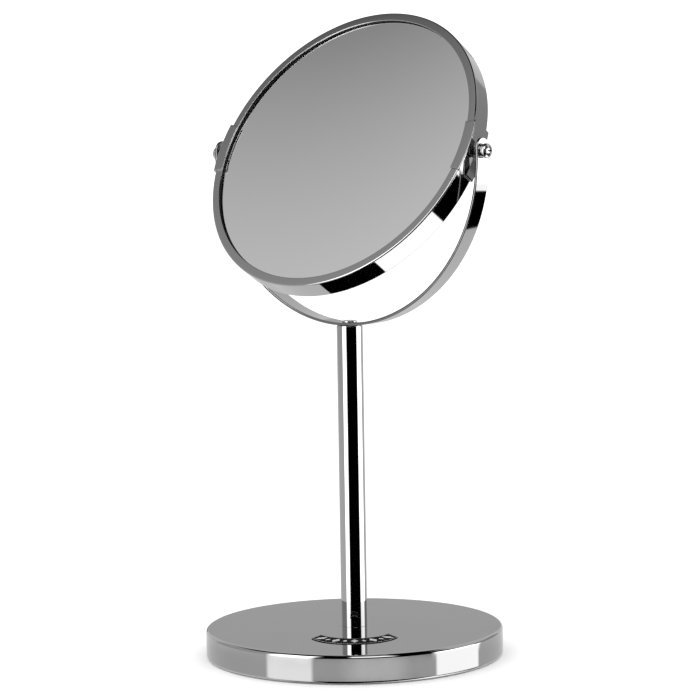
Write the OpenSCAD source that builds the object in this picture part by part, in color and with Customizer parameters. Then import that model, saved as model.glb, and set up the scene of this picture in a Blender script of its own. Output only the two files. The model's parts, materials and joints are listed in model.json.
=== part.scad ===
// Double-sided round table mirror in a fork-shaped yoke on a weighted pedestal.
//
// Frame: the origin is the centre of the underside, +Z is up, the head tilts about an axis
// parallel to X, and the plain mirror faces -Y and upwards. Sizes are in millimetres.

/* [Mirror head] */
// Outside diameter of the rim
rim_d = 170; // [160:1:200]
// Width of the rim's band, from one face of the head to the other
rim_w = 12.6; // [12:0.1:14]
// Width of the flat lip over the edge of each glass
lip_w = 4.8; // [4.6:0.1:6]
// Distance from the face of the lip back to the glass
glass_recess = 1.8; // [1.6:0.1:2]
// Radius of curvature of the magnifying glass
dish_r = 1200; // [1150:50:2000]
// How far the head leans back at rest, in degrees
head_tilt = 31; // [0:1:60]

/* [Pivots] */
// Length of each pivot clip, along the rim
clip_l = 30; // [24:0.5:34]
// Distance that a clip stands proud of the rim's band
clip_t = 1.1; // [0.8:0.1:1.4]
// Diameter of the heads of the pivot screws and the yoke screw
screw_head_d = 8; // [7.6:0.1:8.4]

/* [Yoke] */
// Width of the yoke's strap
strap_w = 10.8; // [10:0.1:12]
// Thickness of the yoke's strap
strap_t = 1.6; // [1.4:0.1:2]
// Gap between the rim and the inside of each arm
yoke_gap = 4.1; // [4:0.1:8]
// Length of each arm's straight stretch below the pivot
arm_drop = 3.2; // [2:0.1:10]
// Height of the ends of the arms above the pivots
arm_rise = 7.2; // [6.5:0.1:9]

/* [Pedestal] */
// Height of the pivots above the table
pivot_h = 275; // [240:0.5:340]
// Diameter of the stem tube
stem_d = 14.3; // [13:0.1:20]
// Diameter of the base
base_d = 163; // [150:1:200]
// Height of the base, from the table to the top of its cover
base_h = 15.6; // [15:0.1:20]
// Angle from the head's front to the badge, seen from above, in degrees
badge_turn = 38.5; // [-180:0.5:180]

/* [Hidden] */

$fn = 128;

// Clearances: between pieces that turn on each other, and between pieces that are fixed together.
run_gap = 0.05;
fit_gap = 0.05;
// Extra length that takes a cut clean through a wall.
cut = 1;

// Mirror head
rim_r = rim_d / 2;
rim_t = 0.6;
rim_edge_r = 0.8;
lip_r = rim_r - lip_w;
split_w = 0.5;
split_y = -7;
channel_r = rim_r - rim_t - 0.2;
glass_t = 2;
glass_r = channel_r - 2.7;
glass_z = rim_w / 2 - glass_recess;
carrier_in_r = lip_r - 1.3;
gasket_in_r = lip_r + 0.6;
dish_steps = 16;

// Pivots
thread_d = 4;
recess_wing = 2.3;
recess_slot = 0.9;
nut_w = 7;
nut_t = 2.2;
locknut_t = 2.2;
pivot_washer_t = 0.5;
pivot_washer_d = 7;
pivot_head_h = 3.1;
pivot_spring_washer_t = 1.1;
pivot_spring_washer_d = 7.2;
clip_reach = 0.5;
clip_in_r = rim_r + fit_gap;
clip_out_r = rim_r + clip_t;
clip_flange_t = 0.7;
clip_edge_r = 0.7;
clip_angle = clip_l / clip_out_r * 180 / PI;
nut_x = rim_r - rim_t - 0.1 - nut_t;
locknut_x = clip_out_r + fit_gap;

// Yoke
yoke_in_r = rim_r + yoke_gap;
yoke_out_r = yoke_in_r + strap_t;
yoke_bend_z = pivot_h - arm_drop;
yoke_inside_z = yoke_bend_z - yoke_in_r;
yoke_outside_z = yoke_bend_z - yoke_out_r;
pivot_hole_d = thread_d + 2 * run_gap;
pivot_washer_x = yoke_in_r - run_gap - pivot_washer_t;
yoke_head_h = 1.1;
screw_washer_t = 0.25;
screw_washer_z = yoke_inside_z + 0.14;

// Stem
tube_wall = 1;
tube_in_r = stem_d / 2 - tube_wall;
top_washer_t = 0.3;
stem_top_z = yoke_outside_z - run_gap - top_washer_t;
insert_l = 20;

// Base
base_r = base_d / 2;
pad_t = 2;
pad_r = base_r - 4;
cover_t = 0.8;
cover_edge_r = 1.8;
cover_hem_r = 1.4;
cover_hem_w = 2.6;
cover_foot_z = 0.5;
weight_r = base_r - cover_t - 0.3;
weight_top_z = base_h - cover_t;
weight_hub_r = 16;
weight_rim_r = weight_r - 10;
weight_web = 4.2;
counterbore_r = 7;
counterbore_z = weight_top_z - 5;
bolt_d = 6;
bolt_head_w = 10;
bolt_head_h = 4;
bolt_washer_t = 1.2;
spring_washer_t = 1.5;
spring_washer_r = 5;
bolt_head_z = counterbore_z - bolt_washer_t - spring_washer_t - bolt_head_h;
bolt_l = 20;

// Badge: a crescent between two circles, with its horns cut off along two lines that meet behind
// the stem. Distances are from the stem's axis.
badge_out_r = 24.5;
badge_out_y = 28.5;
badge_in_r = 20;
badge_in_y = 18.4;
badge_apex_y = -10.4;
badge_half_angle = 26;
badge_t = 0.4;

// ---- Shared shapes ----

// A flat round ring standing on z = 0.
module ring(out_r, in_r, h) {
    difference() {
        cylinder(r = out_r, h = h);
        translate([0, 0, -cut]) cylinder(r = in_r, h = h + 2 * cut);
    }
}

// Half section of a flat cup's outline, with a rounded top edge, to turn about Z.
module cup_outline(r, bottom, top, edge_r) {
    translate([0, bottom]) square([r - edge_r, top - bottom]);
    translate([0, bottom]) square([r, top - bottom - edge_r]);
    translate([r - edge_r, top - edge_r]) circle(edge_r);
}

// Half section of a closed can's outline, with rounded top and bottom edges, to turn about Z.
module can_outline(r, bottom, top, top_r, bottom_r) {
    middle = (bottom + top) / 2;
    translate([0, bottom]) square([r - bottom_r, middle - bottom]);
    translate([0, middle]) square([r - top_r, top - middle]);
    translate([0, bottom + bottom_r]) square([r, top - top_r - bottom - bottom_r]);
    translate([r - top_r, top - top_r]) circle(top_r);
    translate([r - bottom_r, bottom + bottom_r]) circle(bottom_r);
}

// Half section of a channel that opens towards the axis, to turn about Z.
module channel_section(in_r, wall_in_r, out_r, inside_w, flange_t, edge_r) {
    half_w = inside_w / 2 + flange_t;
    difference() {
        union() {
            translate([in_r, -half_w]) square([out_r - edge_r - in_r, 2 * half_w]);
            translate([in_r, edge_r - half_w]) square([out_r - in_r, 2 * (half_w - edge_r)]);
            for (side = [-1, 1]) {
                translate([out_r - edge_r, side * (half_w - edge_r)]) circle(edge_r);
            }
        }
        translate([in_r - cut, -inside_w / 2]) square([wall_in_r - in_r + cut, inside_w]);
    }
}

// A split ring standing on z = 0: the slot through it is what makes it a spring.
module spring_washer(out_r, in_r, h) {
    difference() {
        ring(out_r, in_r, h);
        translate([0, (in_r + out_r) / 2, h / 2]) rotate([0, 35, 0])
            cube([0.8, 2 * (out_r - in_r), 4 * h], center = true);
    }
}

// Cross recess that tapers down into a screw's head, with its mouth at z = 0.
module cross_recess(wing, slot, depth) {
    intersection() {
        union() {
            for (turn = [0, 90]) {
                rotate([0, 0, turn]) translate([-wing, -slot / 2, -depth])
                    cube([2 * wing, slot, depth + cut]);
            }
        }
        translate([0, 0, -depth]) cylinder(r1 = slot * 0.7, r2 = wing * 1.5, h = depth + cut);
    }
}

// Pan-head screw: the head's underside is at z = 0 and the shank points down.
module pan_screw(shank_l, head_h) {
    recess_depth = head_h * 0.6;
    side_h = head_h * 0.35;
    dome_h = head_h - side_h;
    head_r = screw_head_d / 2;
    dome = [for (a = [0:9:90]) [head_r * cos(a), side_h + dome_h * sin(a)]];
    difference() {
        union() {
            rotate_extrude() polygon(concat([[0, 0], [head_r, 0]], dome));
            translate([0, 0, -shank_l]) cylinder(d = thread_d, h = shank_l + cut);
        }
        translate([0, 0, head_h]) cross_recess(recess_wing, recess_slot, recess_depth);
    }
}

// Hexagonal nut standing on z = 0.
module hex_nut(flats, bore_d, h) {
    difference() {
        cylinder(d = flats / cos(30), h = h, $fn = 6);
        translate([0, 0, -cut]) cylinder(d = bore_d, h = h + 2 * cut);
    }
}

// Places the head's own frame: X along the pivots, Z out of the plain mirror, origin at its centre.
module head_frame() {
    translate([0, 0, pivot_h]) rotate([90 - head_tilt, 0, 0]) children();
}

// Stands a shape on the pivot axis at a distance from the centre, pointing outwards.
// side is 1 for the right pivot and -1 for the left one.
module on_pivot(side, distance) {
    head_frame() mirror([side < 0 ? 1 : 0, 0, 0]) translate([distance, 0, 0]) rotate([0, 90, 0]) children();
}

// ---- Base ----

module base_pad() {
    color("#1c1c1c") ring(pad_r, counterbore_r + 2, pad_t);
}

module base_weight() {
    color("dimgray") difference() {
        rotate_extrude() cup_outline(weight_r, pad_t, weight_top_z, cover_edge_r);
        translate([0, 0, pad_t - cut])
            ring(weight_rim_r, weight_hub_r, weight_top_z - weight_web - pad_t + cut);
        translate([0, 0, pad_t - cut]) cylinder(r = counterbore_r, h = counterbore_z - pad_t + cut);
        cylinder(d = bolt_d + 0.4, h = base_h);
    }
}

// The cover's foot is turned in under the weight.
module base_cover() {
    hem_top_z = cover_foot_z + cover_t;
    color("silver") rotate_extrude() difference() {
        can_outline(base_r, cover_foot_z, base_h, cover_edge_r, cover_hem_r);
        can_outline(base_r - cover_t, hem_top_z, weight_top_z, cover_edge_r - cover_t, cover_hem_r - cover_t);
        square([base_r - cover_hem_w, hem_top_z + cut]);
        square([bolt_d / 2 + 0.2, base_h + cut]);
    }
}

module badge() {
    reach = badge_out_y + badge_out_r + cut;
    half_w = (reach - badge_apex_y) * tan(badge_half_angle);
    color("#202020") translate([0, 0, base_h]) rotate([0, 0, badge_turn])
        linear_extrude(badge_t) intersection() {
            difference() {
                translate([0, -badge_out_y]) circle(badge_out_r);
                translate([0, -badge_in_y]) circle(badge_in_r);
            }
            polygon([[0, -badge_apex_y], [-half_w, -reach], [half_w, -reach]]);
        }
}

// ---- Stem and its fasteners ----

module stem_bolt() {
    color("gainsboro") {
        translate([0, 0, bolt_head_z]) cylinder(d = bolt_head_w / cos(30), h = bolt_head_h, $fn = 6);
        translate([0, 0, bolt_head_z + bolt_head_h / 2]) cylinder(d = bolt_d, h = bolt_l + bolt_head_h / 2);
    }
}

module bolt_washer() {
    color("gainsboro") translate([0, 0, counterbore_z - bolt_washer_t])
        ring(bolt_d, bolt_d / 2 + 0.2, bolt_washer_t);
}

module bolt_spring_washer() {
    color("darkgray") translate([0, 0, bolt_head_z + bolt_head_h])
        spring_washer(spring_washer_r, bolt_d / 2 + 0.1, spring_washer_t);
}

module stem_tube() {
    color("silver") translate([0, 0, base_h]) ring(stem_d / 2, tube_in_r, stem_top_z - base_h);
}

module stem_lower_insert() {
    color("gray") translate([0, 0, base_h]) ring(tube_in_r - fit_gap, bolt_d / 2 + fit_gap, insert_l);
}

module stem_upper_insert() {
    color("gray") translate([0, 0, stem_top_z - insert_l])
        ring(tube_in_r - fit_gap, thread_d / 2 + fit_gap, insert_l);
}

module stem_top_washer() {
    color("gainsboro") translate([0, 0, stem_top_z])
        ring(stem_d / 2 - 0.3, thread_d / 2 + fit_gap, top_washer_t);
}

module yoke_screw() {
    color("silver") translate([0, 0, screw_washer_z + screw_washer_t]) rotate([0, 0, 20])
        pan_screw(14, yoke_head_h);
}

module yoke_screw_washer() {
    color("gainsboro") translate([0, 0, screw_washer_z])
        ring(screw_head_d / 2 + 0.1, thread_d / 2 + fit_gap, screw_washer_t);
}

// ---- Yoke ----

module yoke() {
    end_r = strap_w / 2;
    end_z = pivot_h + arm_rise - end_r;
    hole_x = yoke_out_r + cut;
    color("silver") difference() {
        union() {
            translate([0, 0, yoke_bend_z]) rotate([-90, 0, 0]) rotate_extrude(angle = 180)
                translate([yoke_in_r, -strap_w / 2]) square([strap_t, strap_w]);
            for (x = [-yoke_out_r, yoke_in_r]) {
                translate([x, -strap_w / 2, yoke_bend_z]) cube([strap_t, strap_w, end_z - yoke_bend_z]);
                translate([x, 0, end_z]) rotate([0, 90, 0]) cylinder(r = end_r, h = strap_t);
            }
        }
        translate([-hole_x, 0, pivot_h]) rotate([0, 90, 0]) cylinder(d = pivot_hole_d, h = 2 * hole_x);
        translate([0, 0, yoke_outside_z - cut]) cylinder(d = pivot_hole_d, h = strap_t + 2 * cut);
    }
}

// ---- Mirror head ----

// The hoop is one length of channel bent round; its ends meet under the left clip.
module rim() {
    color("silver") head_frame() difference() {
        rotate_extrude()
            channel_section(lip_r, rim_r - rim_t, rim_r, rim_w - 2 * rim_t, rim_t, rim_edge_r);
        translate([-rim_r - cut, split_y - split_w / 2, -rim_w])
            cube([lip_w + 4, split_w, 2 * rim_w]);
        translate([-rim_r - cut, 0, 0]) rotate([0, 90, 0]) cylinder(d = pivot_hole_d, h = 2 * (rim_r + cut));
    }
}

module plain_mirror() {
    color("lightgray") head_frame() translate([0, 0, glass_z - glass_t]) cylinder(r = glass_r, h = glass_t);
}

// Depth of the dished face below its edge, at a distance r from the centre.
function dish(r) = sqrt(pow(dish_r, 2) - pow(r, 2)) - sqrt(pow(dish_r, 2) - pow(glass_r, 2));

module magnifying_mirror() {
    steps = [for (i = [0:dish_steps]) glass_r * i / dish_steps];
    face = [for (r = steps) [r, glass_z - dish(r)]];
    back = [for (i = [dish_steps:-1:0]) face[i] - [0, glass_t]];
    color("lightgray") head_frame() rotate([180, 0, 0]) rotate_extrude() polygon(concat(face, back));
}

// The carrier keeps the two glasses apart and central, with a pocket for each pivot nut. Its web is
// thinner on the side of the dished glass, whose back bulges towards it.
module glass_carrier() {
    pocket_w = nut_w + 2.4;
    web_front = glass_z - glass_t - fit_gap;
    web_rear = web_front - dish(carrier_in_r);
    color("#282828") head_frame() difference() {
        rotate_extrude() {
            translate([carrier_in_r, -web_rear]) square([channel_r - carrier_in_r, web_front + web_rear]);
            translate([glass_r + 0.2, -glass_z]) square([channel_r - glass_r - 0.2, 2 * glass_z]);
        }
        for (side = [-1, 1]) {
            translate([side * (nut_x + nut_t), 0, 0]) cube([2 * nut_t + 1, pocket_w, rim_w], center = true);
        }
    }
}

module gasket() {
    ring(channel_r, gasket_in_r, glass_recess - rim_t - 2 * fit_gap);
}

module front_gasket() {
    color("#181818") head_frame() translate([0, 0, glass_z + fit_gap]) gasket();
}

module rear_gasket() {
    color("#181818") head_frame() rotate([180, 0, 0]) translate([0, 0, glass_z + fit_gap]) gasket();
}

// ---- Pivots ----

module pivot_clip(side) {
    color("silver") head_frame() mirror([side < 0 ? 1 : 0, 0, 0]) difference() {
        rotate([0, 0, -clip_angle / 2]) rotate_extrude(angle = clip_angle)
            channel_section(
                lip_r - clip_reach, clip_in_r, clip_out_r, rim_w + 2 * fit_gap, clip_flange_t, clip_edge_r
            );
        translate([rim_r - cut, 0, 0]) rotate([0, 90, 0]) cylinder(d = pivot_hole_d, h = 3 * cut + clip_t);
    }
}

module pivot_screw(side) {
    head_x = yoke_out_r + run_gap + pivot_spring_washer_t;
    color("silver") on_pivot(side, head_x) rotate([0, 0, 30]) pan_screw(head_x - nut_x, pivot_head_h);
}

module pivot_spring_washer(side) {
    color("darkgray") on_pivot(side, yoke_out_r + run_gap) rotate([0, 0, 200])
        spring_washer(pivot_spring_washer_d / 2, thread_d / 2 + fit_gap, pivot_spring_washer_t);
}

module pivot_washer(side) {
    color("#303030") on_pivot(side, pivot_washer_x)
        ring(pivot_washer_d / 2, pivot_hole_d / 2, pivot_washer_t);
}

module pivot_locknut(side) {
    color("gainsboro") on_pivot(side, locknut_x) hex_nut(nut_w, pivot_hole_d, locknut_t);
}

module pivot_nut(side) {
    color("gainsboro") on_pivot(side, nut_x) hex_nut(nut_w, pivot_hole_d, nut_t);
}

base_pad();
base_weight();
base_cover();
badge();
stem_bolt();
bolt_washer();
bolt_spring_washer();
stem_tube();
stem_lower_insert();
stem_upper_insert();
stem_top_washer();
yoke_screw();
yoke_screw_washer();
yoke();
rim();
plain_mirror();
magnifying_mirror();
glass_carrier();
front_gasket();
rear_gasket();
pivot_clip(-1);  // left_pivot_clip
pivot_clip(1);  // right_pivot_clip
pivot_screw(-1);  // left_pivot_screw
pivot_screw(1);  // right_pivot_screw
pivot_washer(-1);  // left_pivot_washer
pivot_washer(1);  // right_pivot_washer
pivot_locknut(-1);  // left_pivot_locknut
pivot_locknut(1);  // right_pivot_locknut
pivot_nut(-1);  // left_pivot_nut
pivot_nut(1);  // right_pivot_nut
pivot_spring_washer(-1);  // left_pivot_spring_washer
pivot_spring_washer(1);  // right_pivot_spring_washer
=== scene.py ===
# Looks of a round double-sided table mirror on a weighted pedestal, built around its CAD frame.
import json
import math

import bmesh
import bpy
from mathutils import Matrix, Vector


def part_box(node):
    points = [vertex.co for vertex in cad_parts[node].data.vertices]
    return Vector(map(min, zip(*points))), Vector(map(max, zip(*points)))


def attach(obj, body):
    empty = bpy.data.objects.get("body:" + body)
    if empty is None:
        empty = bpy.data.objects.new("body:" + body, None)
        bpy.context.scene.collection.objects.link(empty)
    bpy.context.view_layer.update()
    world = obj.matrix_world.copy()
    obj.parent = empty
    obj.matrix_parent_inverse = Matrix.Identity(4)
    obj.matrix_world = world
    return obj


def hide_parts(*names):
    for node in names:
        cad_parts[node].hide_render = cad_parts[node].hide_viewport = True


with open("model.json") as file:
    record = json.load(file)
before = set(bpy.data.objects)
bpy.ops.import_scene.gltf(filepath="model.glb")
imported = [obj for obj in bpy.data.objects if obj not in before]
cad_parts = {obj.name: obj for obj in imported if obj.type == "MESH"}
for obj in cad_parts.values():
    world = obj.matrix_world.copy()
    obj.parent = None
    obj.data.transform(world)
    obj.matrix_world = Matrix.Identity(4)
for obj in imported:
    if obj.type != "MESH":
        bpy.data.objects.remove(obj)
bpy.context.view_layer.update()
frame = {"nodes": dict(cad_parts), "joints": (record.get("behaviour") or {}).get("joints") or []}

MM = 0.001
TAU = math.tau

# The camera stands level with the mirror and looks slightly down at the stem's axis.
CAMERA_AZIMUTH = math.radians(38.57)
CAMERA_DISTANCE = 1.3515
CAMERA_HEIGHT = 0.2827
CAMERA_PITCH = math.radians(4.87)
CAMERA_ROLL = math.radians(-0.93)
CAMERA_LENS = 127.9

# Sizes that the frame's boxes don't give. The CAD model has the same ones.
HEAD_TILT = math.radians(31)
RIM_SHEET = 0.6 * MM
RIM_EDGE = 0.8 * MM
LIP_WIDTH = 4.8 * MM
SPLIT_Y = -7 * MM
SPLIT_WIDTH = 0.5 * MM
GLASS_THICKNESS = 2 * MM
DISH_RADIUS = 1.2
GASKET_SETBACK = 0.6 * MM
CLIP_FLANGE = 0.7 * MM
CLIP_WALL = 1.05 * MM
CLIP_EDGE = 0.7 * MM
STRAP_THICKNESS = 1.6 * MM
HOLE_RADIUS = 2.05 * MM
SCREW_RADIUS = 2 * MM
SCREW_HEAD_RADIUS = 4 * MM
RECESS_WING = 2.3 * MM
RECESS_SLOT = 0.9 * MM
PIVOT_HEAD_HEIGHT = 3.1 * MM
YOKE_HEAD_HEIGHT = 1.1 * MM
NUT_FLATS = 7 * MM
TUBE_WALL = 1 * MM
COVER_SHEET = 0.8 * MM
COVER_EDGE = 1.8 * MM
COVER_HEM_EDGE = 1.4 * MM
COVER_HEM_WIDTH = 2.6 * MM
COVER_HOLE_RADIUS = 3.2 * MM
PAD_HOLE_RADIUS = 9 * MM
BADGE_TURN = math.radians(38.5)

# How far the screws and spring washers happen to be turned.
YOKE_SCREW_TURN = math.radians(20)
PIVOT_SCREW_TURN = math.radians(30)
SPRING_WASHER_TURN = math.radians(200)

ROUND_STEPS = 288
SMALL_STEPS = 96
SHARP_ANGLE = math.radians(38)


# ---- Frames of reference ----

PIVOT = Vector(next(j["pos_m"] for j in frame["joints"] if j["name"] == "mirror_tilt"))
HEAD = Matrix.Translation(PIVOT) @ Matrix.Rotation(math.pi / 2 - HEAD_TILT, 4, "X")
TO_HEAD = HEAD.inverted()
UPRIGHT = Matrix.Identity(4)


def head_box(node):
    """Lowest and highest corner of a CAD node in the head's frame.

    X runs along the pivots and Z points out of the plain mirror.
    """
    points = [TO_HEAD @ vertex.co for vertex in frame["nodes"][node].data.vertices]
    low = Vector([min(point[i] for point in points) for i in range(3)])
    high = Vector([max(point[i] for point in points) for i in range(3)])
    return low, high


def on_pivot(side, distance):
    """Places a shape made along +Z on the pivot axis, pointing outwards; side is 1 right, -1 left."""
    facing = Matrix.Translation((distance, 0, 0)) @ Matrix.Rotation(math.pi / 2, 4, "Y")
    return HEAD @ Matrix.Diagonal((side, 1, 1, 1)) @ facing


# ---- Shapes ----

def rounded(corners, steps=6):
    """Outline through corners (x, y, radius), each one rounded by an arc of its own radius."""
    outline = []
    for i, (x, y, radius) in enumerate(corners):
        here = Vector((x, y))
        before = (Vector(corners[i - 1][:2]) - here).normalized()
        after = (Vector(corners[(i + 1) % len(corners)][:2]) - here).normalized()
        if radius <= 0:
            outline.append((x, y))
            continue
        half = before.angle(after) / 2
        centre = here + (before + after).normalized() * radius / math.sin(half)
        start = here + before * radius / math.tan(half) - centre
        turn = math.copysign(math.pi - 2 * half, before.x * after.y - before.y * after.x)
        for k in range(steps + 1):
            spoke = Matrix.Rotation(-turn * k / steps, 2) @ start
            outline.append(tuple(centre + spoke))
    return outline


def lathe(profile, steps=ROUND_STEPS, start=0.0, sweep=TAU):
    """Turns a closed outline of (radius, height) about Z. Less than a full turn gets end caps."""
    shape = bmesh.new()
    full = sweep >= TAU
    rings = []
    for i in range(steps if full else steps + 1):
        angle = start + sweep * i / steps
        rings.append([shape.verts.new((r * math.cos(angle), r * math.sin(angle), z)) for r, z in profile])
    for i in range(steps):
        near = rings[i]
        far = rings[(i + 1) % len(rings)]
        for j in range(len(profile)):
            k = (j + 1) % len(profile)
            if profile[j][0] > 0 or profile[k][0] > 0:
                shape.faces.new((near[j], far[j], far[k], near[k]))
    if not full:
        shape.faces.new(rings[0])
        shape.faces.new(rings[-1])
    bmesh.ops.remove_doubles(shape, verts=shape.verts, dist=0.0001 * MM)
    bmesh.ops.recalc_face_normals(shape, faces=shape.faces)
    return shape


def extrude(outline, height):
    """A solid that stands on z = 0 with a closed outline of (x, y)."""
    shape = bmesh.new()
    face = shape.faces.new([shape.verts.new((x, y, 0)) for x, y in outline])
    top = bmesh.ops.extrude_face_region(shape, geom=[face])["geom"]
    lifted = [part for part in top if isinstance(part, bmesh.types.BMVert)]
    bmesh.ops.translate(shape, verts=lifted, vec=(0, 0, height))
    bmesh.ops.recalc_face_normals(shape, faces=shape.faces)
    return shape


def soften(shape, width, segments=2, angle=math.radians(50)):
    """Rounds off the edges that are sharper than the angle."""
    edges = [edge for edge in shape.edges if len(edge.link_faces) == 2 and edge.calc_face_angle() > angle]
    bmesh.ops.bevel(shape, geom=edges, offset=width, segments=segments, profile=0.5, affect="EDGES")
    return shape


def combine(shape, tool, operation="DIFFERENCE"):
    """Cuts a tool from a shape, or keeps what they share. Both are used up."""
    objects = []
    for source in (shape, tool):
        mesh = bpy.data.meshes.new("scratch")
        source.to_mesh(mesh)
        source.free()
        scratch = bpy.data.objects.new("scratch", mesh)
        bpy.context.scene.collection.objects.link(scratch)
        objects.append(scratch)
    modifier = objects[0].modifiers.new("combine", "BOOLEAN")
    modifier.object = objects[1]
    modifier.operation = operation
    modifier.solver = "EXACT"
    result = bmesh.new()
    result.from_object(objects[0], bpy.context.evaluated_depsgraph_get())
    for scratch in objects:
        mesh = scratch.data
        bpy.data.objects.remove(scratch)
        bpy.data.meshes.remove(mesh)
    return result


def rod(radius, low, high, at=UPRIGHT):
    """A plain cylinder along Z, for drilling holes."""
    shape = lathe([(0, low), (radius, low), (radius, high), (0, high)], SMALL_STEPS)
    bmesh.ops.transform(shape, matrix=at, verts=shape.verts)
    return shape


def ring_profile(inner, outer, low, high, edge):
    """Half section of a flat ring with rounded edges."""
    return rounded([(inner, low, edge), (outer, low, edge), (outer, high, edge), (inner, high, edge)], 4)


def disc_profile(outer, low, high, edge):
    """Half section of a solid disc with rounded edges."""
    return rounded([(0, low, 0), (outer, low, edge), (outer, high, edge), (0, high, 0)], 4)


def channel_profile(inner, outer, half_width, wall, flange, edge):
    """Half section of a hoop whose two flanges point inwards, with rolled tips and edges."""
    tip = flange * 0.45
    inside = max(edge - wall, 0.15 * MM)
    return rounded([
        (inner, half_width, tip),
        (outer, half_width, edge),
        (outer, -half_width, edge),
        (inner, -half_width, tip),
        (inner, flange - half_width, tip),
        (outer - wall, flange - half_width, inside),
        (outer - wall, half_width - flange, inside),
        (inner, half_width - flange, tip),
    ])


# ---- Materials ----

class Material:
    """A node material. Its detail comes from noise in the object's own coordinates."""

    def __init__(self, name, colour, **sockets):
        self.material = bpy.data.materials.new(name)
        self.material.use_nodes = True
        self.tree = self.material.node_tree
        self.shader = next(node for node in self.tree.nodes if node.type == "BSDF_PRINCIPLED")
        self.shader.inputs["Base Color"].default_value = (*colour, 1)
        for socket, value in sockets.items():
            self.shader.inputs[socket.replace("_", " ")].default_value = value
        self.place = self.tree.nodes.new("ShaderNodeTexCoord").outputs["Object"]
        self.normal = None

    def link(self, output, entry):
        self.tree.links.new(output, entry)

    def stretched(self, scale):
        """The object's coordinates, scaled along each axis."""
        mapping = self.tree.nodes.new("ShaderNodeMapping")
        mapping.inputs["Scale"].default_value = scale
        self.link(self.place, mapping.inputs["Vector"])
        return mapping.outputs["Vector"]

    def noise(self, scale, detail=3, roughness=0.5, place=None):
        node = self.tree.nodes.new("ShaderNodeTexNoise")
        node.inputs["Scale"].default_value = scale
        node.inputs["Detail"].default_value = detail
        node.inputs["Roughness"].default_value = roughness
        self.link(place or self.place, node.inputs["Vector"])
        return node.outputs["Fac"]

    def pores(self, scale):
        """Distance to the nearest cell centre, for foam and cast surfaces."""
        node = self.tree.nodes.new("ShaderNodeTexVoronoi")
        node.inputs["Scale"].default_value = scale
        self.link(self.place, node.inputs["Vector"])
        return node.outputs["Distance"]

    def spread(self, value, low, high, start=0.35, end=0.65):
        """Maps the middle of a noise onto a range."""
        node = self.tree.nodes.new("ShaderNodeMapRange")
        node.inputs["From Min"].default_value = start
        node.inputs["From Max"].default_value = end
        node.inputs["To Min"].default_value = low
        node.inputs["To Max"].default_value = high
        self.link(value, node.inputs["Value"])
        return node.outputs["Result"]

    def vary_roughness(self, value, low, high):
        self.link(self.spread(value, low, high), self.shader.inputs["Roughness"])

    def vary_colour(self, value, first, second):
        node = self.tree.nodes.new("ShaderNodeMix")
        node.data_type = "RGBA"
        colour_inputs = [entry for entry in node.inputs if entry.type == "RGBA"]
        colour_inputs[0].default_value = (*first, 1)
        colour_inputs[1].default_value = (*second, 1)
        self.link(self.spread(value, 0, 1), node.inputs["Factor"])
        result = next(output for output in node.outputs if output.type == "RGBA")
        self.link(result, self.shader.inputs["Base Color"])

    def bump(self, value, height):
        """Adds a height of so many metres on top of the bumps before it."""
        node = self.tree.nodes.new("ShaderNodeBump")
        node.inputs["Distance"].default_value = height
        self.link(value, node.inputs["Height"])
        if self.normal:
            self.link(self.normal, node.inputs["Normal"])
        self.normal = node.outputs["Normal"]
        self.link(self.normal, self.shader.inputs["Normal"])


def grey(value):
    return (value, value, value)


def chrome(name="bright_chrome", shade=0.42, waviness=0.004, finest=0.015, dullest=0.05):
    """Bright plating: fingertip smears dull it a little, and the polished sheet isn't quite flat."""
    made = Material(name, grey(shade), Metallic=1.0)
    smears = made.noise(45, detail=5, roughness=0.6)
    made.vary_roughness(smears, finest, dullest)
    made.vary_colour(made.noise(20, detail=2), grey(shade * 0.985), grey(shade * 1.015))
    made.bump(made.noise(70, detail=1), waviness * MM)
    hairlines = made.noise(1, detail=2, place=made.stretched((220, 1400, 900)))
    made.bump(hairlines, 0.00004 * MM)
    return made.material


def silvered_glass():
    """Mirror glass with a little dust on it."""
    made = Material("silvered_glass", grey(0.95), Metallic=1.0, Coat_Weight=0.35, Coat_Roughness=0.01)
    made.vary_roughness(made.noise(30, detail=6, roughness=0.65), 0.008, 0.03)
    made.vary_colour(made.noise(6, detail=2), grey(0.945), grey(0.955))
    return made.material


def turned_steel(name, shade, coarse):
    """Zinc-plated or turned steel, with fine tool marks."""
    made = Material(name, grey(shade), Metallic=1.0)
    marks = made.noise(1, detail=4, roughness=0.7, place=made.stretched((300, 300, 2600)))
    made.vary_roughness(marks, coarse - 0.12, coarse + 0.1)
    made.vary_colour(made.noise(160, detail=4), grey(shade * 0.82), grey(shade))
    made.bump(marks, 0.006 * MM)
    return made.material


def cast_iron():
    """The painted ballast, with the grain of a sand casting."""
    made = Material("cast_iron", grey(0.03), Metallic=0.2)
    made.vary_roughness(made.noise(500, detail=5), 0.5, 0.75)
    made.vary_colour(made.noise(90, detail=6, roughness=0.7), (0.022, 0.022, 0.024), (0.055, 0.05, 0.046))
    made.bump(made.noise(650, detail=4, roughness=0.6), 0.15 * MM)
    return made.material


def foam():
    """Black closed-cell foam, with fine open pores on its cut faces."""
    made = Material("foam", grey(0.014), Specular_IOR_Level=0.3)
    made.vary_roughness(made.noise(900, detail=3), 0.75, 0.95)
    made.vary_colour(made.noise(240, detail=5), grey(0.009), grey(0.022))
    made.bump(made.pores(2200), 0.12 * MM)
    return made.material


def plastic():
    """Black moulded plastic and rubber, slightly grained."""
    made = Material("grained_plastic", grey(0.014), Specular_IOR_Level=0.2)
    made.vary_roughness(made.noise(300, detail=4), 0.5, 0.6)
    made.vary_colour(made.noise(120, detail=3), grey(0.011), grey(0.017))
    made.bump(made.noise(1200, detail=2), 0.004 * MM)
    return made.material


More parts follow.
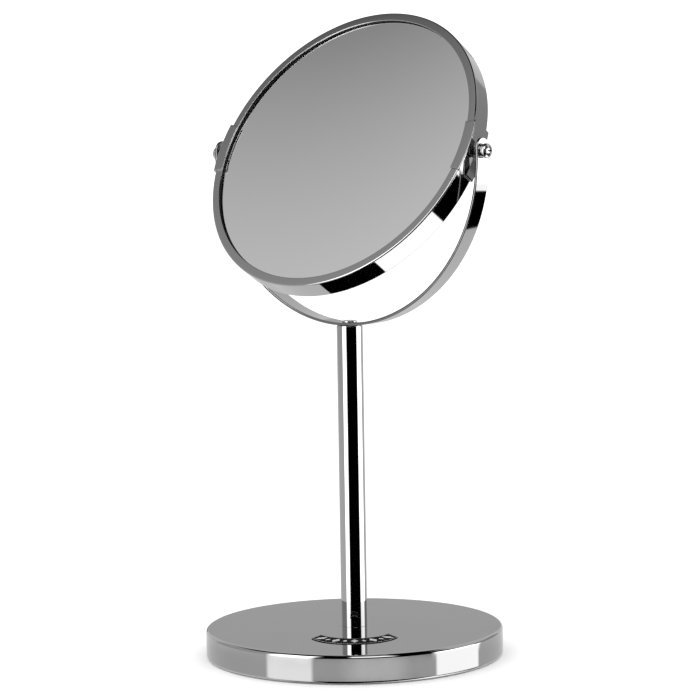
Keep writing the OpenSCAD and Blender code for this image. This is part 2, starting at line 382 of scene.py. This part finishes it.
def enamel():
    """Black enamel, without the gloss that would mirror the room at the camera's low angle."""
    made = Material("black_enamel_paint", grey(0.012), Specular_IOR_Level=0.0)
    made.vary_roughness(made.noise(400, detail=5, roughness=0.7), 0.2, 0.4)
    made.vary_colour(made.noise(900, detail=4), grey(0.008), grey(0.018))
    made.bump(made.noise(350, detail=2), 0.004 * MM)
    return made.material


CHROME = chrome()
SCREW_CHROME = chrome("screw_chrome", shade=0.52, waviness=0.001, finest=0.12, dullest=0.24)
# Rougher chrome for cut edges, coloured darker than the rest: the darker colour is painted shade for the
# dark line along those edges.
CUT_EDGE_PAINTED_SHADE_CHROME = chrome("cut_edge_painted_shade_chrome", shade=0.22, waviness=0.001, finest=0.08, dullest=0.16)
MIRROR = silvered_glass()
ZINC = turned_steel("zinc_plated_steel", 0.55, coarse=0.26)
INSERT = turned_steel("turned_insert", 0.42, coarse=0.38)
IRON = cast_iron()
FOAM = foam()
PLASTIC = plastic()
ENAMEL = enamel()
BADGE_SILVER = turned_steel("badge_silver", 0.8, coarse=0.5)


def piece(name, shape, material, body, nodes, at=UPRIGHT):
    """Makes an object of a shape, in place of its CAD nodes, riding on a body."""
    bmesh.ops.transform(shape, matrix=at, verts=shape.verts)
    bmesh.ops.recalc_face_normals(shape, faces=shape.faces)
    mesh = bpy.data.meshes.new(name)
    shape.to_mesh(mesh)
    shape.free()
    mesh.materials.append(material)
    mesh.shade_smooth()
    mesh.set_sharp_from_angle(angle=SHARP_ANGLE)
    made = bpy.data.objects.new(name, mesh)
    bpy.context.scene.collection.objects.link(made)
    normals = made.modifiers.new("even_shading", "WEIGHTED_NORMAL")
    normals.keep_sharp = True
    normals.weight = 100
    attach(made, body)
    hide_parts(*nodes)
    return made


def paint_shade_on_cut_edges(made, is_cut):
    """Gives the faces of a sheet piece that were cut, not rolled, a rougher plating in a darker colour;
    the darker colour is painted shade.
    """
    made.data.materials.append(CUT_EDGE_PAINTED_SHADE_CHROME)
    for face in made.data.polygons:
        if is_cut(face):
            face.material_index = 1


# ---- Base ----

def base():
    cover_low, cover_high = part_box("base_cover")
    radius = cover_high.x
    top = cover_high.z
    hem = radius - COVER_HEM_WIDTH
    foot = cover_low.z
    tip = 0.3 * MM
    burr = 0.1 * MM
    cover = rounded([
        (COVER_HOLE_RADIUS, top, burr),
        (radius, top, COVER_EDGE),
        (radius, foot, COVER_HEM_EDGE),
        (hem, foot, tip),
        (hem, foot + COVER_SHEET, tip),
        (radius - COVER_SHEET, foot + COVER_SHEET, COVER_HEM_EDGE - COVER_SHEET),
        (radius - COVER_SHEET, top - COVER_SHEET, COVER_EDGE - COVER_SHEET),
        (COVER_HOLE_RADIUS, top - COVER_SHEET, burr),
    ], steps=8)
    piece("cover_shell", lathe(cover), CHROME, "pedestal", ["base_cover"])

    pad_low, pad_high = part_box("base_pad")
    pad = ring_profile(PAD_HOLE_RADIUS, pad_high.x, pad_low.z, pad_high.z, edge=0.4 * MM)
    piece("foam_pad", lathe(pad), FOAM, "pedestal", ["base_pad"])


# The badge is a crescent between two circles, with its horns cut off along two lines that meet
# behind the stem. Its distances are from the stem's axis.
BADGE_OUTER = (28.5 * MM, 24.5 * MM)
BADGE_INNER = (18.4 * MM, 20 * MM)
BADGE_APEX = 10.4 * MM
BADGE_HALF_ANGLE = math.radians(26)
BADGE_LINE_INSET = 0.45 * MM
BADGE_FIELD_INSET = 0.7 * MM
BADGE_LAYER = 0.03 * MM
BADGE_EDGE = 0.02 * MM

# The lozenges' half sizes along and across the badge, and the part of its arc that they take up.
LOZENGE_COUNT = 9
LARGE_LOZENGE = (2.1 * MM, 4.2 * MM)
SMALL_LOZENGE = (1.2 * MM, 2.2 * MM)
LOZENGE_ARC = 0.78


def badge_corner(centre, radius, inset):
    """Angle on a circle, seen from its centre, at which the badge's side line crosses it."""
    apex = Vector((0, BADGE_APEX - inset / math.sin(BADGE_HALF_ANGLE)))
    along = Vector((math.sin(BADGE_HALF_ANGLE), -math.cos(BADGE_HALF_ANGLE)))
    offset = apex - Vector((0, -centre))
    middle = along.dot(offset)
    reach = -middle + math.sqrt(middle ** 2 - offset.length_squared + radius ** 2)
    point = offset + along * reach
    return math.atan2(point.x, -point.y)


def badge_arc(circle, grow, inset, steps=40):
    """Points along one of the badge's two arcs, from its right end to its left end."""
    centre, radius = circle
    radius += grow
    end = badge_corner(centre, radius, inset)
    angles = [end * (1 - 2 * i / steps) for i in range(steps + 1)]
    return [(radius * math.sin(a), -centre - radius * math.cos(a)) for a in angles]


def badge_outline(inset):
    outer = badge_arc(BADGE_OUTER, -inset, inset)
    inner = badge_arc(BADGE_INNER, inset, inset)
    return outer + inner[::-1]


def badge_ornament(height):
    """A row of plain lozenges along the middle of the badge, large and small in turn."""
    centre = (BADGE_OUTER[0] + BADGE_INNER[0]) / 2
    radius = (BADGE_OUTER[1] + BADGE_INNER[1]) / 2
    end = badge_corner(centre, radius, 0) * LOZENGE_ARC
    row = bmesh.new()
    for i in range(LOZENGE_COUNT):
        half_length, half_width = SMALL_LOZENGE if i % 2 else LARGE_LOZENGE
        turn = end * (2 * i / (LOZENGE_COUNT - 1) - 1)
        middle = (radius * math.sin(turn), -centre - radius * math.cos(turn))
        corners = [(half_length, 0), (0, half_width), (-half_length, 0), (0, -half_width)]
        lozenge = soften(extrude(corners, height), BADGE_EDGE)
        place = Matrix.Translation((*middle, 0)) @ Matrix.Rotation(turn, 4, "Z")
        bmesh.ops.transform(lozenge, matrix=place, verts=lozenge.verts)
        mesh = bpy.data.meshes.new("scratch")
        lozenge.to_mesh(mesh)
        lozenge.free()
        row.from_mesh(mesh)
        bpy.data.meshes.remove(mesh)
    return row


def badge():
    """A black plate with a thin silver line near its edge and a row of lozenges, each a layer higher."""
    low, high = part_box("badge")
    thickness = high.z - low.z
    facing = Matrix.Translation((0, 0, low.z)) @ Matrix.Rotation(BADGE_TURN, 4, "Z")
    layers = [
        ("badge_plate", badge_outline(0), 3 * BADGE_LAYER, ENAMEL),
        ("badge_line", badge_outline(BADGE_LINE_INSET), 2 * BADGE_LAYER, BADGE_SILVER),
        ("badge_field", badge_outline(BADGE_FIELD_INSET), BADGE_LAYER, ENAMEL),
    ]
    for name, outline, below_top, material in layers:
        layer = soften(extrude(outline, thickness - below_top), BADGE_EDGE)
        piece(name, layer, material, "pedestal", ["badge"], facing)
    ornament = badge_ornament(thickness)
    made = piece("badge_ornament", ornament, BADGE_SILVER, "pedestal", ["badge"], facing)
    # The stem's dark stripe stays clean, as in the photograph.
    made.visible_glossy = False


# ---- Stem ----

def stem():
    low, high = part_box("stem_tube")
    radius = high.x
    bore = radius - TUBE_WALL
    chamfer = 0.1 * MM
    tube = rounded([
        (bore, low.z, 0), (radius, low.z, chamfer), (radius, high.z, chamfer), (bore, high.z, 0),
    ], steps=3)
    piece("stem", lathe(tube, SMALL_STEPS * 2), CHROME, "pedestal", ["stem_tube"])

    for node in ("stem_top_washer", "yoke_screw_washer"):
        low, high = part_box(node)
        washer = ring_profile(HOLE_RADIUS, high.x, low.z, high.z, edge=0.08 * MM)
        piece(node + "_ring", lathe(washer, SMALL_STEPS), SCREW_CHROME, "pedestal", [node])


# ---- Fasteners ----

def recess_slot(depth, turn):
    """One slot of a cross recess, tapering downwards from z = 0 and carried on upwards to cut cleanly."""
    shape = bmesh.new()
    bmesh.ops.create_cube(shape, size=1)
    over = 1 * MM
    foot_wing = 0.45
    foot_slot = 0.7
    mouth_slot = 1.1
    for vertex in shape.verts:
        lower = vertex.co.z < 0
        wing = RECESS_WING * (foot_wing if lower else 1 + (1 - foot_wing) * over / depth)
        half_slot = RECESS_SLOT / 2 * (foot_slot if lower else mouth_slot)
        vertex.co.x = math.copysign(wing, vertex.co.x)
        vertex.co.y = math.copysign(half_slot, vertex.co.y)
        vertex.co.z = -depth if lower else over
    bmesh.ops.rotate(shape, verts=shape.verts, cent=(0, 0, 0), matrix=Matrix.Rotation(turn, 3, "Z"))
    return shape


def screw(length, head_height):
    """Pan-head screw: the head's underside is at z = 0 and the threaded shank points down."""
    side = head_height * 0.35
    dome = head_height - side
    lower_edge = 0.12 * MM
    pitch = 0.7 * MM
    thread_depth = 0.38 * MM
    core = SCREW_RADIUS - thread_depth
    tip = 0.3 * MM
    neck = 0.5 * MM
    unthreaded = 1.5 * MM
    threads = int((length - unthreaded) / pitch)
    profile = [(0, -length), (core, -length)]
    for i in range(threads):
        foot = -length + tip + i * pitch
        profile += [(core, foot), (SCREW_RADIUS, foot + pitch / 2)]
    profile += [(SCREW_RADIUS, -neck), (SCREW_RADIUS, 0)]
    profile += [(SCREW_HEAD_RADIUS - lower_edge, 0), (SCREW_HEAD_RADIUS, lower_edge)]
    dome_steps = 18
    for i in range(dome_steps):
        angle = math.pi / 2 * i / dome_steps
        profile.append((SCREW_HEAD_RADIUS * math.cos(angle), side + dome * math.sin(angle)))
    profile.append((0, head_height))
    made = lathe(profile, SMALL_STEPS)
    recess_depth = 0.6 * head_height
    for turn in (0, math.pi / 2):
        slot = recess_slot(recess_depth, turn)
        bmesh.ops.translate(slot, verts=slot.verts, vec=(0, 0, head_height))
        made = combine(made, slot)
    return made


def split_washer(inner, outer, height):
    """A ring cut through by a slanted slot, standing on z = 0."""
    ring = lathe(ring_profile(inner, outer, 0, height, edge=0.1 * MM), SMALL_STEPS)
    slot_width = 0.8 * MM
    slot_lean = math.radians(35)
    middle = Matrix.Translation((0, (inner + outer) / 2, height / 2))
    size = Matrix.Diagonal((slot_width, 2 * (outer - inner), 4 * height, 1))
    slot = bmesh.new()
    bmesh.ops.create_cube(slot, size=1, matrix=middle @ Matrix.Rotation(slot_lean, 4, "Y") @ size)
    return combine(ring, slot)


def hex_nut(height):
    """Hexagonal nut standing on z = 0, with turned-down corners and a countersunk bore."""
    flat = NUT_FLATS / 2
    corner = flat / math.cos(math.pi / 6)
    slope = 0.58
    drop = (corner - flat) * slope
    outline = [(corner * math.cos(TAU * i / 6), corner * math.sin(TAU * i / 6)) for i in range(6)]
    turned = [(0, 0), (flat, 0), (corner, drop), (corner, height - drop), (flat, height), (0, height)]
    sink = 0.3 * MM
    mouth = HOLE_RADIUS + sink
    bore = [
        (0, -MM), (mouth, -MM), (mouth, 0), (HOLE_RADIUS, sink),
        (HOLE_RADIUS, height - sink), (mouth, height), (mouth, height + MM), (0, height + MM),
    ]
    prism = combine(extrude(outline, height), lathe(turned, SMALL_STEPS), "INTERSECT")
    return combine(prism, lathe(bore, SMALL_STEPS))


def yoke_screw():
    low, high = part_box("yoke_screw")
    underside = high.z - YOKE_HEAD_HEIGHT
    at = Matrix.Translation((0, 0, underside)) @ Matrix.Rotation(YOKE_SCREW_TURN, 4, "Z")
    shape = screw(underside - low.z, YOKE_HEAD_HEIGHT)
    piece("yoke_screw_pan", shape, SCREW_CHROME, "pedestal", ["yoke_screw"], at)


def pivot_fasteners(name, side):
    node = name + "_pivot_screw"
    low, high = head_box("right_pivot_screw")
    underside = high.x - PIVOT_HEAD_HEIGHT
    at = on_pivot(side, underside) @ Matrix.Rotation(PIVOT_SCREW_TURN, 4, "Z")
    shape = screw(underside - low.x, PIVOT_HEAD_HEIGHT)
    piece(node + "_pan", shape, SCREW_CHROME, "mirror_head", [node], at)

    node = name + "_pivot_washer"
    low, high = head_box("right_pivot_washer")
    washer = ring_profile(HOLE_RADIUS, high.y, 0, high.x - low.x, edge=0.12 * MM)
    at = on_pivot(side, low.x)
    piece(node + "_ring", lathe(washer, SMALL_STEPS), PLASTIC, "mirror_head", [node], at)

    node = name + "_pivot_spring_washer"
    low, high = head_box("right_pivot_spring_washer")
    washer = split_washer(SCREW_RADIUS + 0.1 * MM, high.y, high.x - low.x)
    at = on_pivot(side, low.x) @ Matrix.Rotation(SPRING_WASHER_TURN, 4, "Z")
    piece(node + "_split", washer, SCREW_CHROME, "mirror_head", [node], at)

    for kind in ("locknut", "nut"):
        node = f"{name}_pivot_{kind}"
        low, high = head_box("right_pivot_" + kind)
        at = on_pivot(side, low.x)
        nut = hex_nut(high.x - low.x)
        piece(node + "_hex", nut, SCREW_CHROME, "mirror_head", [node], at)


# ---- Yoke ----

def yoke():
    """One flat strap with round ends, cut, edge-rounded and drilled, then bent to a half circle."""
    low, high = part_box("yoke")
    end_radius = high.y
    outer = high.x
    bend_z = low.z + outer
    middle = outer - STRAP_THICKNESS / 2
    quarter = middle * math.pi / 2
    straight = high.z - end_radius - bend_z
    reach = quarter + straight

    outline = []
    end_steps = 32
    for side in (1, -1):
        for i in range(end_steps + 1):
            angle = math.pi * i / end_steps - math.pi / 2
            along = reach + end_radius * math.cos(angle)
            outline.append((side * along, side * end_radius * math.sin(angle)))
    rounding = 0.6 * MM
    strap = soften(extrude(outline, STRAP_THICKNESS), width=rounding, segments=6)
    bmesh.ops.translate(strap, verts=strap.verts, vec=(0, 0, -STRAP_THICKNESS / 2))

    bends = 180
    for i in range(bends + 1):
        everything = strap.verts[:] + strap.edges[:] + strap.faces[:]
        place = quarter * (2 * i / bends - 1)
        bmesh.ops.bisect_plane(strap, geom=everything, plane_co=(place, 0, 0), plane_no=(1, 0, 0))
    for vertex in strap.verts:
        along, across, out = vertex.co
        angle = max(-quarter, min(quarter, along)) / middle
        rise = max(0, abs(along) - quarter)
        radius = middle - out
        vertex.co = (radius * math.sin(angle), across, bend_z - radius * math.cos(angle) + rise)

    lying = Matrix.Translation((0, 0, PIVOT.z)) @ Matrix.Rotation(math.pi / 2, 4, "Y")
    strap = combine(strap, rod(HOLE_RADIUS, -2 * outer, 2 * outer, lying))
    strap = combine(strap, rod(HOLE_RADIUS, low.z - MM, low.z + STRAP_THICKNESS + MM))
    made = piece("yoke_strap", strap, CHROME, "yoke", ["yoke"])

    def is_cut(face):
        """True off the strap's two broad sides, which face straight in or out."""
        straight_out = 0.995
        outwards = Vector((face.center.x, 0, min(0, face.center.z - bend_z))).normalized()
        return abs(face.normal.dot(outwards)) < straight_out

    # The strap's cut edges get the darker chrome: painted shade along its edges.
    paint_shade_on_cut_edges(made, is_cut)


# ---- Mirror head ----

def rim():
    high = head_box("rim")[1]
    outer = high.x
    inner = outer - LIP_WIDTH
    profile = channel_profile(inner, outer, high.z, RIM_SHEET, RIM_SHEET, RIM_EDGE)
    split = math.pi + math.asin(-SPLIT_Y / outer)
    gap = SPLIT_WIDTH / outer
    hoop = lathe(profile, start=split + gap / 2, sweep=TAU - gap)
    across = Matrix.Rotation(math.pi / 2, 4, "Y")
    hoop = combine(hoop, rod(HOLE_RADIUS, -outer - MM, outer + MM, across))
    piece("rim_hoop", hoop, CHROME, "mirror_head", ["rim"], HEAD)


def glasses():
    low, high = head_box("plain_mirror")
    edge = 0.25 * MM
    plain = disc_profile(high.x, low.z, high.z, edge)
    piece("plain_glass", lathe(plain), MIRROR, "mirror_head", ["plain_mirror"], HEAD)

    radius = high.x
    face = high.z
    edge_sag = math.sqrt(DISH_RADIUS ** 2 - radius ** 2)
    steps = 40
    dished = []
    for i in range(steps + 1):
        r = radius * i / steps
        dished.append((r, face - math.sqrt(DISH_RADIUS ** 2 - r ** 2) + edge_sag))
    back = [(r, z - GLASS_THICKNESS) for r, z in reversed(dished)]
    turned = HEAD @ Matrix.Rotation(math.pi, 4, "X")
    piece(
        "magnifying_glass", lathe(dished + back), MIRROR, "mirror_head",
        ["magnifying_mirror"], turned,
    )

    inner = head_box("rim")[1].x - LIP_WIDTH + GASKET_SETBACK
    for node in ("front_gasket", "rear_gasket"):
        low, high = head_box(node)
        gasket = ring_profile(inner, high.x, low.z, high.z, edge=0.3 * MM)
        piece(node + "_ring", lathe(gasket), PLASTIC, "mirror_head", [node], HEAD)


def clip(name, side):
    """A short length of channel that grips the rim at a pivot."""
    low, high = head_box("right_pivot_clip")
    outer = high.x
    half_angle = math.asin(high.y / outer)
    inner = low.x / math.cos(half_angle)
    profile = channel_profile(inner, outer, high.z, CLIP_WALL, CLIP_FLANGE, CLIP_EDGE)
    bar = lathe(profile, steps=24, start=-half_angle, sweep=2 * half_angle)
    shape = soften(bar, width=0.09 * MM, angle=math.radians(60))
    hole = rod(HOLE_RADIUS, outer - 3 * MM, outer + MM, Matrix.Rotation(math.pi / 2, 4, "Y"))
    at = HEAD @ Matrix.Diagonal((side, 1, 1, 1))
    node = name + "_pivot_clip"
    made = piece(node + "_sheet", combine(shape, hole), CHROME, "mirror_head", [node], at)

    def is_cut(face):
        """True on the half of a flange's tip that lies next to the rim."""
        place = TO_HEAD @ face.center
        lower_half = abs(place.z) < high.z - CLIP_FLANGE / 2
        return lower_half and place.xy.length < inner + CLIP_FLANGE / 2

    # The half of each flange tip next to the rim gets the darker chrome: painted shade where the clip
    # meets the rim.
    paint_shade_on_cut_edges(made, is_cut)


# ---- CAD nodes that keep their shape ----

def finish_cad_nodes():
    """Hidden parts stay as the CAD made them and get their materials."""
    finishes = {
        "base_weight": IRON,
        "stem_bolt": ZINC,
        "bolt_washer": ZINC,
        "bolt_spring_washer": ZINC,
        "stem_lower_insert": INSERT,
        "stem_upper_insert": INSERT,
        "glass_carrier": PLASTIC,
    }
    for node, material in finishes.items():
        mesh = frame["nodes"][node].data
        for i in range(len(mesh.materials)):
            mesh.materials[i] = material


# ---- Studio ----

def floor():
    half = 6.0
    below = -0.02 * MM
    corners = ((-half, -half), (half, -half), (half, half), (-half, half))
    shape = bmesh.new()
    shape.faces.new([shape.verts.new((x, y, below)) for x, y in corners])
    mesh = bpy.data.meshes.new("floor")
    shape.to_mesh(mesh)
    shape.free()
    made = Material("floor_paper", grey(0.9), Specular_IOR_Level=0.0)
    made.vary_roughness(made.noise(30), 0.75, 0.85)
    mesh.materials.append(made.material)
    paper = bpy.data.objects.new("floor", mesh)
    bpy.context.scene.collection.objects.link(paper)
    paper.visible_glossy = False


# What the polished metal mirrors: a pale room with a bright panel on each side, a dark side behind the
# camera, and the table below the horizon. Each row is azimuth from, to and softness of those edges,
# elevation from, to and softness, and brightness. Azimuth 0 is towards the camera and 90 is to its
# right; all angles are in degrees. Later rows cover earlier ones, and the sides of the room meet at
# 180, so a full turn is -200 to 200.
HORIZON = -11.5
PANELS = {
    "pale_room": (-200, 200, 2, -95, 95, 2, 0.8),
    "dark_ceiling": (-200, 200, 2, 54, 95, 8, 0.0),
    "left_window": (-150, -82, 8, 28, 60, 8, 0.6),
    "left_corner": (-150, -98, 18, 41, 75, 18, 0.0),
    "left_wall": (-132, -72, 8, -20, 24, 8, 0.55),
    "left_wall_foot": (-132, -72, 8, -20, -6, 8, 0.86),
    "right_wall": (102, 145, 4, 1, 24, 2, 0.43),
    "far_left_wall": (-200, -166, 4, 6, 16, 3, 0.52),
    "far_right_wall": (166, 200, 4, 6, 16, 3, 0.52),
    "dark_room": (-60, 85, 4, -20, 95, 4, 0.0),
    "left_softbox": (-67.6, -33.4, 9, -20, 52.6, 9, 4.2),
    "right_softbox": (63.3, 103.5, 8, -20, 12.7, 8, 4.2),
    "low_right_softbox": (65, 111, 6, -20, 1.2, 2, 4.2),
    "dark_door": (-173, -162, 1, -3, 4, 1, 0.0),
    "door_frame": (-200, -175.5, 3, -3, 4, 1, 0.4),
    "front_strip": (-4, 34, 6, 24, 62, 6, 2.3),
    "table": (-200, 200, 2, -95, HORIZON, 0.5, 0.7),
    "near_table": (-200, 200, 2, -95, -24, 16, 0.93),
    "front_strip_on_table": (-5, 37, 22, -95, HORIZON, 0.5, 0.95),
    "left_softbox_on_table": (-71, -33, 4, -30, -11, 3, 1.75),
    "right_softbox_on_table": (65, 110, 3, -14, -11, 1, 2.15),
    "dark_room_on_table": (-33, 62, 3, -95, -13, 1, 0.0),
    "shade_under_base": (-200, 200, 2, -95, -62, 4, 0.0),
    "right_table": (62, 118, 1, -95, -36, 1, 2.45),
    "dark_gap": (70, 117.5, 1, -36, -14, 1, 0.0),
}
SOFT_LIGHT = 1.4


def studio():
    """Soft white light all round, and the panels for what is mirrored."""
    world = bpy.data.worlds.new("studio")
    bpy.context.scene.world = world
    world.use_nodes = True
    tree = world.node_tree

    def calculate(operation, *values):
        node = tree.nodes.new("ShaderNodeMath")
        node.operation = operation
        for entry, value in zip(node.inputs, values):
            if isinstance(value, (int, float)):
                entry.default_value = value
            else:
                tree.links.new(value, entry)
        return node.outputs["Value"]

    def edge(value, place, softness, rising):
        node = tree.nodes.new("ShaderNodeMapRange")
        node.interpolation_type = "SMOOTHSTEP"
        node.inputs["From Min"].default_value = place - softness / 2
        node.inputs["From Max"].default_value = place + softness / 2
        node.inputs["To Min"].default_value = 0 if rising else 1
        node.inputs["To Max"].default_value = 1 if rising else 0
        tree.links.new(value, node.inputs["Value"])
        return node.outputs["Result"]

    def window(value, low, high, softness):
        return calculate("MULTIPLY", edge(value, low, softness, True), edge(value, high, softness, False))

    direction = tree.nodes.new("ShaderNodeTexCoord").outputs["Generated"]
    turn = tree.nodes.new("ShaderNodeVectorRotate")
    turn.rotation_type = "Z_AXIS"
    turn.inputs["Angle"].default_value = -CAMERA_AZIMUTH
    tree.links.new(direction, turn.inputs["Vector"])
    parts = tree.nodes.new("ShaderNodeSeparateXYZ")
    tree.links.new(turn.outputs["Vector"], parts.inputs["Vector"])
    towards = calculate("MULTIPLY", parts.outputs["Y"], -1)
    azimuth = calculate("DEGREES", calculate("ARCTAN2", parts.outputs["X"], towards))
    elevation = calculate("DEGREES", calculate("ARCSINE", parts.outputs["Z"]))

    mirrored = 0
    for low, high, side_softness, bottom, top, softness, brightness in PANELS.values():
        across = window(azimuth, low, high, side_softness)
        up = window(elevation, bottom, top, softness)
        mask = calculate("MULTIPLY", across, up)
        change = calculate("SUBTRACT", brightness, mirrored)
        mirrored = calculate("MULTIPLY_ADD", change, mask, mirrored)

    glossy = tree.nodes.new("ShaderNodeLightPath").outputs["Is Glossy Ray"]
    change = calculate("SUBTRACT", mirrored, SOFT_LIGHT)
    strength = calculate("MULTIPLY_ADD", change, glossy, SOFT_LIGHT)
    background = next(node for node in tree.nodes if node.type == "BACKGROUND")
    background.inputs["Color"].default_value = (1, 1, 1, 1)
    tree.links.new(strength, background.inputs["Strength"])


def camera():
    data = bpy.data.cameras.new("camera")
    data.lens = CAMERA_LENS
    data.sensor_width = 36
    made = bpy.data.objects.new("camera", data)
    bpy.context.scene.collection.objects.link(made)
    place = Vector((
        CAMERA_DISTANCE * math.sin(CAMERA_AZIMUTH),
        -CAMERA_DISTANCE * math.cos(CAMERA_AZIMUTH),
        CAMERA_HEIGHT,
    ))
    made.matrix_world = (
        Matrix.Translation(place)
        @ Matrix.Rotation(CAMERA_AZIMUTH, 4, "Z")
        @ Matrix.Rotation(math.pi / 2 - CAMERA_PITCH, 4, "X")
        @ Matrix.Rotation(CAMERA_ROLL, 4, "Z")
    )
    bpy.context.scene.camera = made


base()
badge()
stem()
yoke_screw()
yoke()
rim()
glasses()
for name, side in (("left", -1), ("right", 1)):
    clip(name, side)
    pivot_fasteners(name, side)
finish_cad_nodes()
floor()
studio()
camera()

bpy.context.scene.view_settings.view_transform = "Standard"
